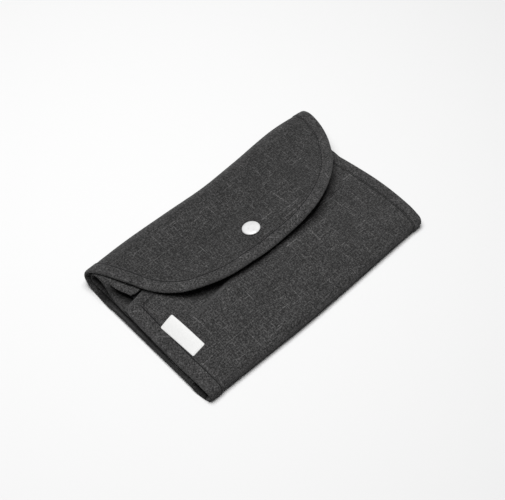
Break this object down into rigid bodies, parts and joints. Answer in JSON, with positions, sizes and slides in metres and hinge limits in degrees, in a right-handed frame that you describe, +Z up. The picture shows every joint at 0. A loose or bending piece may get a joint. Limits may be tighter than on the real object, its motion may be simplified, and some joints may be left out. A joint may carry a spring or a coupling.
{
  "type": "film changing bag",
  "caption": "Dark woven-cloth changing bag folded flat for storage, with a rounded flap held by a round press stud and a front panel that folds up.",
  "frame": {"origin": "on the ground at the middle of the folded bag's footprint", "axes": "+X along the long folds, +Y from the front fold to the back fold where the flap is joined, +Z up through the press stud"},
  "size_m": [0.236, 0.144, 0.0262],
  "materials": {
    "canvas": "plain-woven charcoal melange canvas, matte",
    "lining_cloth": "dense black lining cloth, matte",
    "binding_tape": "bias-cut binding of the same canvas, stitched, matte",
    "elastic": "ribbed knitted elastic, matte",
    "zip_tape": "woven zip tape, matte",
    "zip_nylon": "nylon coil, satin",
    "zip_metal": "black lacquered zinc, satin",
    "label_satin": "white woven label, satin",
    "snap_enamel": "white enamel, semi-gloss",
    "snap_metal": "nickel-plated brass, satin"
  },
  "bodies": {
    "folded_bag": {"outer_shell": "canvas", "shell_lining": "lining_cloth", "left_end_binding": "binding_tape", "right_end_binding": "binding_tape", "outer_bag_plies": "canvas", "inner_bag_plies": "lining_cloth", "zip_yoke": "canvas", "left_sleeve": "lining_cloth", "left_cuff_elastic": "elastic", "right_sleeve": "lining_cloth", "right_cuff_elastic": "elastic", "zip_tape_front": "zip_tape", "zip_coil_front": "zip_nylon", "zip_tape_back": "zip_tape", "zip_coil_back": "zip_nylon", "zip_end_stops": "zip_metal"},
    "flap": {"flap_outer": "canvas", "flap_lining": "lining_cloth", "flap_binding": "binding_tape", "snap_cap": "snap_enamel", "snap_socket": "snap_metal"},
    "front": {"front_panel": "canvas", "front_lining": "lining_cloth", "left_front_binding": "binding_tape", "right_front_binding": "binding_tape", "mouth_hem": "binding_tape", "side_label": "label_satin", "snap_stud": "snap_metal", "snap_rivet": "snap_metal"},
    "light_trap": {"light_trap_flap": "canvas", "light_trap_hem": "canvas"},
    "slider": {"zip_slider": "zip_metal"},
    "pull": {"zip_pull": "zip_metal"}
  },
  "joints": [
    {"name": "flap_hinge", "type": "hinge", "parent": "folded_bag", "child": "flap", "pos_m": [0, 0.06, 0.0245], "axis": [-1, 0, 0], "range_deg": [0, 190]},
    {"name": "front_hinge", "type": "hinge", "parent": "folded_bag", "child": "front", "pos_m": [0, -0.067, 0.01], "axis": [1, 0, 0], "range_deg": [0, 72.2]},
    {"name": "light_trap_hinge", "type": "hinge", "parent": "folded_bag", "child": "light_trap", "pos_m": [0, 0.0578, 0.0209], "axis": [-1, 0, 0], "range_deg": [0, 95]},
    {"name": "zip_slide", "type": "slide", "parent": "folded_bag", "child": "slider", "axis": [-1, 0, 0], "range_m": [0, 0.17]},
    {"name": "pull_hinge", "type": "hinge", "parent": "slider", "child": "pull", "pos_m": [0.092, 0.0443, 0.0158], "axis": [0, -1, 0], "range_deg": [0, 18]}
  ],
  "couplings": [
    {"joint": "front_hinge", "follows": "flap_hinge", "ratio": 0.38},
    {"joint": "light_trap_hinge", "follows": "flap_hinge", "ratio": 0.5}
  ]
}
